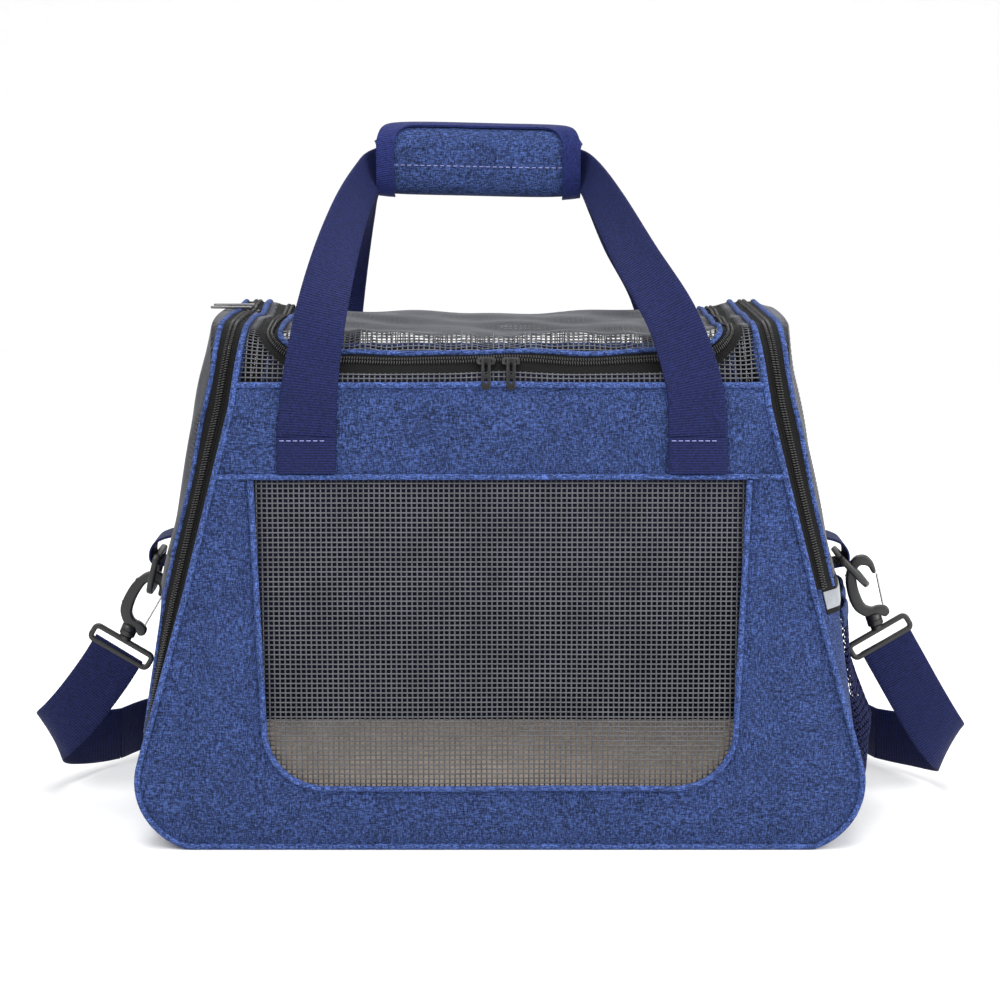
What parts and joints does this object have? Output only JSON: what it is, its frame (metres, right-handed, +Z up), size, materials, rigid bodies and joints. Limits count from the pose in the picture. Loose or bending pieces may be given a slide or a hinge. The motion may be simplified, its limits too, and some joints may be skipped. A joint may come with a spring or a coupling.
{
  "type": "pet transport carrier",
  "caption": "Soft-sided trapezoid pet carrier with mesh windows and top, zipped folding end doors and top flap, two webbing handles with a padded wrap, and a clip-on shoulder strap.",
  "frame": {"origin": "centre of the base underside, on the surface that the carrier stands on", "axes": "+Z up, +X along the length toward the pocket end, +Y toward the back"},
  "size_m": [0.6469, 0.3005, 0.47],
  "materials": {
    "blue_canvas": "heathered woven polyester, matt",
    "grey_mesh": "coated open square mesh, satin",
    "zip_black": "black coil zip and tape, matt",
    "navy_webbing": "ribbed polypropylene webbing, slight sheen",
    "pocket_net": "navy stretch net",
    "reflective": "silver reflective tape between black edges",
    "mat_taupe": "taupe fleece over foam",
    "board": "stiff base board, matt",
    "black_plastic": "moulded acetal, satin",
    "wire_steel": "bright spring wire",
    "pull_metal": "gunmetal plated zinc"
  },
  "bodies": {
    "root": {"base_panel": "blue_canvas", "base_board": "board", "bed_mat": "mat_taupe", "front_panel": "blue_canvas", "front_window_mesh": "grey_mesh", "front_yoke": "blue_canvas", "back_panel": "blue_canvas", "back_yoke": "blue_canvas", "top_border_mesh": "grey_mesh", "top_zip_tape": "zip_black", "left_lower_panel": "blue_canvas", "right_lower_panel": "blue_canvas", "left_skirt_mesh": "grey_mesh", "right_skirt_mesh": "grey_mesh", "left_zip_tape": "zip_black", "right_zip_tape": "zip_black", "reflective_strip": "reflective", "pocket_mesh": "pocket_net", "pocket_binding": "blue_canvas", "seam_piping": "blue_canvas", "window_piping": "blue_canvas", "yoke_piping": "blue_canvas", "strap_tabs": "navy_webbing", "handle_tails": "navy_webbing", "strap_back_run": "navy_webbing"},
    "top_flap": {"top_flap_mesh": "grey_mesh", "top_flap_piping": "blue_canvas", "top_flap_tape": "zip_black"},
    "left_door": {"left_door_mesh": "grey_mesh", "left_door_piping": "blue_canvas", "left_door_tape": "zip_black"},
    "right_door": {"right_door_mesh": "grey_mesh", "right_door_piping": "blue_canvas", "right_door_tape": "zip_black"},
    "front_handle": {"front_handle_web": "navy_webbing", "grip_wrap": "blue_canvas", "grip_wrap_leaf": "blue_canvas"},
    "rear_handle": {"rear_handle_web": "navy_webbing"},
    "left_clip": {"left_d_ring": "black_plastic", "left_strap_loop": "black_plastic", "left_strap_drop": "navy_webbing"},
    "right_clip": {"right_d_ring": "black_plastic", "right_strap_loop": "black_plastic", "right_strap_drop": "navy_webbing"},
    "left_hook": {"left_hook": "black_plastic"},
    "right_hook": {"right_hook": "black_plastic"},
    "left_gate": {"left_gate": "wire_steel"},
    "right_gate": {"right_gate": "wire_steel"},
    "strap_adjuster": {"strap_adjuster": "black_plastic"},
    "top_left_slider": {"top_left_slider": "pull_metal"},
    "top_left_pull": {"top_left_pull": "pull_metal"},
    "top_right_slider": {"top_right_slider": "pull_metal"},
    "top_right_pull": {"top_right_pull": "pull_metal"},
    "left_front_slider": {"left_front_slider": "pull_metal"},
    "left_front_pull": {"left_front_pull": "pull_metal"},
    "left_rear_slider": {"left_rear_slider": "pull_metal"},
    "left_rear_pull": {"left_rear_pull": "pull_metal"},
    "right_slider": {"right_slider": "pull_metal"},
    "right_pull": {"right_pull": "pull_metal"}
  },
  "joints": [
    {"name": "top_flap_open", "type": "hinge", "parent": "root", "child": "top_flap", "pos_m": [0, 0.08, 0.3403], "axis": [-1, 0, 0], "range_deg": [0, 160]},
    {"name": "front_handle_fold", "type": "hinge", "parent": "root", "child": "front_handle", "pos_m": [0, -0.1282, 0.276], "axis": [1, 0, 0], "range_deg": [0, 170], "deforming": ["grip_wrap_leaf"]},
    {"name": "rear_handle_fold", "type": "hinge", "parent": "root", "child": "rear_handle", "pos_m": [0, 0.1282, 0.276], "axis": [-1, 0, 0], "range_deg": [0, 170]},
    {"name": "left_door_fold", "type": "hinge", "parent": "root", "child": "left_door", "pos_m": [-0.2256, 0, 0.193], "axis": [0, -1, 0], "range_deg": [0, 90]},
    {"name": "right_door_fold", "type": "hinge", "parent": "root", "child": "right_door", "pos_m": [0.2256, 0, 0.193], "axis": [0, 1, 0], "range_deg": [0, 90]},
    {"name": "top_left_slider_slide", "type": "slide", "parent": "root", "child": "top_left_slider", "axis": [-1, 0, 0], "range_m": [0, 0.08]},
    {"name": "top_right_slider_slide", "type": "slide", "parent": "root", "child": "top_right_slider", "axis": [1, 0, 0], "range_m": [0, 0.08]},
    {"name": "left_front_slider_slide", "type": "slide", "parent": "root", "child": "left_front_slider", "axis": [0, -1, 0], "range_m": [0, 0.06]},
    {"name": "left_rear_slider_slide", "type": "slide", "parent": "root", "child": "left_rear_slider", "axis": [0, 1, 0], "range_m": [0, 0.04]},
    {"name": "right_slider_slide", "type": "slide", "parent": "root", "child": "right_slider", "axis": [-0.2435, 0.0017, 0.9699], "range_m": [0, 0.1]},
    {"name": "top_left_pull_lift", "type": "hinge", "parent": "top_left_slider", "child": "top_left_pull", "pos_m": [-0.009, -0.12072, 0.32487], "axis": [-1, 0, 0], "range_deg": [0, 110]},
    {"name": "top_right_pull_lift", "type": "hinge", "parent": "top_right_slider", "child": "top_right_pull", "pos_m": [0.007, -0.12072, 0.32487], "axis": [-1, 0, 0], "range_deg": [0, 110]},
    {"name": "left_front_pull_lift", "type": "hinge", "parent": "left_front_slider", "child": "left_front_pull", "pos_m": [-0.1704, 0.008, 0.3459], "axis": [0, 1, 0], "range_deg": [0, 140]},
    {"name": "left_rear_pull_lift", "type": "hinge", "parent": "left_rear_slider", "child": "left_rear_pull", "pos_m": [-0.1704, 0.027, 0.3459], "axis": [0, 1, 0], "range_deg": [0, 140]},
    {"name": "right_pull_lift", "type": "hinge", "parent": "right_slider", "child": "right_pull", "pos_m": [0.21021, 0.12339, 0.18303], "axis": [0.6691, -0.7236, 0.1692], "range_deg": [0, 120]},
    {"name": "left_clip_swing", "type": "hinge", "parent": "root", "child": "left_clip", "pos_m": [-0.2368, 0, 0.1755], "axis": [0, 1, 0], "range_deg": [0, 25], "deforming": ["left_strap_drop"]},
    {"name": "right_clip_swing", "type": "hinge", "parent": "root", "child": "right_clip", "pos_m": [0.236, 0, 0.174], "axis": [0, -1, 0], "range_deg": [0, 25], "deforming": ["right_strap_drop"]},
    {"name": "left_hook_swivel", "type": "hinge", "parent": "left_clip", "child": "left_hook", "pos_m": [-0.2608, 0, 0.119], "axis": [0.4195, 0, 0.9078], "range_deg": [-8, 8]},
    {"name": "right_hook_swivel", "type": "hinge", "parent": "right_clip", "child": "right_hook", "pos_m": [0.2626, 0, 0.1266], "axis": [-0.3256, 0, 0.9455], "range_deg": [-10, 10]},
    {"name": "left_gate_open", "type": "hinge", "parent": "left_hook", "child": "left_gate", "pos_m": [-0.2486, 0, 0.12394], "axis": [0, -1, 0], "range_deg": [0, 18], "stiffness_Nm_per_rad": 0.004, "springref_deg": -11.46},
    {"name": "right_gate_open", "type": "hinge", "parent": "right_hook", "child": "right_gate", "pos_m": [0.26798, 0, 0.13861], "axis": [0, -1, 0], "range_deg": [0, 12], "stiffness_Nm_per_rad": 0.004, "springref_deg": -11.46},
    {"name": "strap_adjuster_slide", "type": "slide", "parent": "root", "child": "strap_adjuster", "axis": [1, 0, 0], "range_m": [-0.025, 0.025]}
  ],
  "couplings": [
    {"joint": "front_handle_fold", "follows": "top_flap_open", "ratio": 1.0625},
    {"joint": "rear_handle_fold", "follows": "top_flap_open", "ratio": 1.0625}
  ]
}
